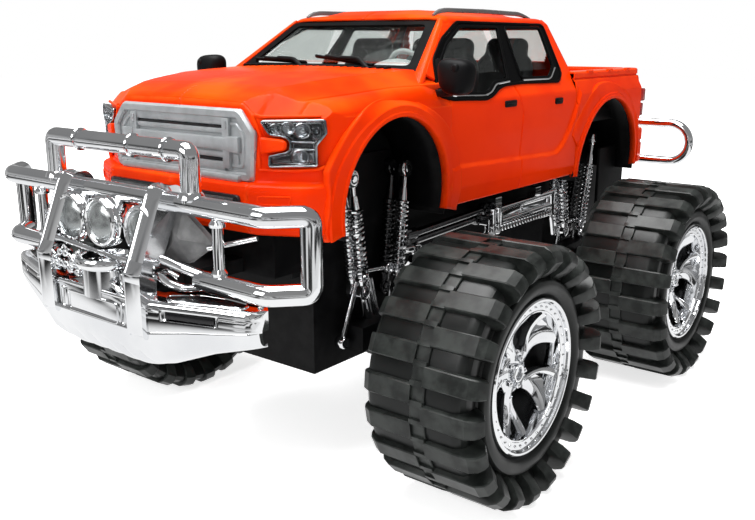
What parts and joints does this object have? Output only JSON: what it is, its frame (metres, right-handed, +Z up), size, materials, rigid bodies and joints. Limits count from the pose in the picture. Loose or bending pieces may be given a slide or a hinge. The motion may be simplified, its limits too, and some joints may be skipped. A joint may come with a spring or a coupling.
{
  "type": "toy monster truck",
  "caption": "Toy monster truck: orange crew-cab pickup body on a raised black frame, chromed bull bar and shocks, and oversized lugged wheels that roll.",
  "frame": {"origin": "on the floor under the middle of the truck's bounding box", "axes": "+Y backwards along the truck, +X to the truck's left, +Z up"},
  "size_m": [0.275, 0.406, 0.2115],
  "materials": {
    "orange_shell": "glossy moulded shell",
    "chrome_plate": "bright plated plastic",
    "black_plastic": "satin moulded plastic",
    "tyre_rubber": "soft satin moulding",
    "silver_grille": "silver painted",
    "clear_glazing": "clear",
    "lamp_lens": "clear lens over a bright reflector",
    "red_lens": "red lens",
    "dark_interior": "satin",
    "grey_plastic": "satin",
    "steel_rod": "plain"
  },
  "bodies": {
    "truck": {"bar_lamps": "chrome_plate", "bull_bar_hoop": "chrome_plate", "bull_bar_lower_tube": "chrome_plate", "bull_bar_posts": "chrome_plate", "bull_bar_stays": "chrome_plate", "bull_bar_upper_tube": "chrome_plate", "bull_bar_uprights": "chrome_plate", "cab_shell": "orange_shell", "cabin_tub": "dark_interior", "chassis_frame": "black_plastic", "cowl_and_wipers": "black_plastic", "dashboard": "grey_plastic", "door_mirrors": "black_plastic", "front_axle_carriers": "black_plastic", "front_axle_rod": "steel_rod", "front_body": "orange_shell", "front_gearbox": "black_plastic", "front_left_shocks": "chrome_plate", "front_right_shocks": "chrome_plate", "front_seats": "dark_interior", "grille": "silver_grille", "headlights": "lamp_lens", "link_rods": "chrome_plate", "load_bed": "orange_shell", "rear_axle_carriers": "black_plastic", "rear_axle_rod": "steel_rod", "rear_bumper": "orange_shell", "rear_gearbox": "black_plastic", "rear_left_shocks": "chrome_plate", "rear_loop": "chrome_plate", "rear_loop_stays": "chrome_plate", "rear_right_shocks": "chrome_plate", "rear_seats": "dark_interior", "rear_window": "clear_glazing", "roof_rails": "grey_plastic", "side_frames": "chrome_plate", "side_windows_left": "clear_glazing", "side_windows_right": "clear_glazing", "skid_plate": "chrome_plate", "steering_wheel": "grey_plastic", "tail_lights": "red_lens", "winch": "chrome_plate", "windscreen": "clear_glazing"},
    "front_left_wheel": {"front_left_tyre": "tyre_rubber", "front_left_rim": "chrome_plate"},
    "front_right_wheel": {"front_right_tyre": "tyre_rubber", "front_right_rim": "chrome_plate"},
    "rear_left_wheel": {"rear_left_tyre": "tyre_rubber", "rear_left_rim": "chrome_plate"},
    "rear_right_wheel": {"rear_right_tyre": "tyre_rubber", "rear_right_rim": "chrome_plate"}
  },
  "joints": [
    {"name": "front_left_roll", "type": "hinge", "parent": "truck", "child": "front_left_wheel", "pos_m": [0.111, -0.074, 0.057], "axis": [1, 0, 0], "continuous": true},
    {"name": "front_right_roll", "type": "hinge", "parent": "truck", "child": "front_right_wheel", "pos_m": [-0.111, -0.074, 0.057], "axis": [1, 0, 0], "continuous": true},
    {"name": "rear_left_roll", "type": "hinge", "parent": "truck", "child": "rear_left_wheel", "pos_m": [0.111, 0.116, 0.057], "axis": [1, 0, 0], "continuous": true},
    {"name": "rear_right_roll", "type": "hinge", "parent": "truck", "child": "rear_right_wheel", "pos_m": [-0.111, 0.116, 0.057], "axis": [1, 0, 0], "continuous": true}
  ]
}
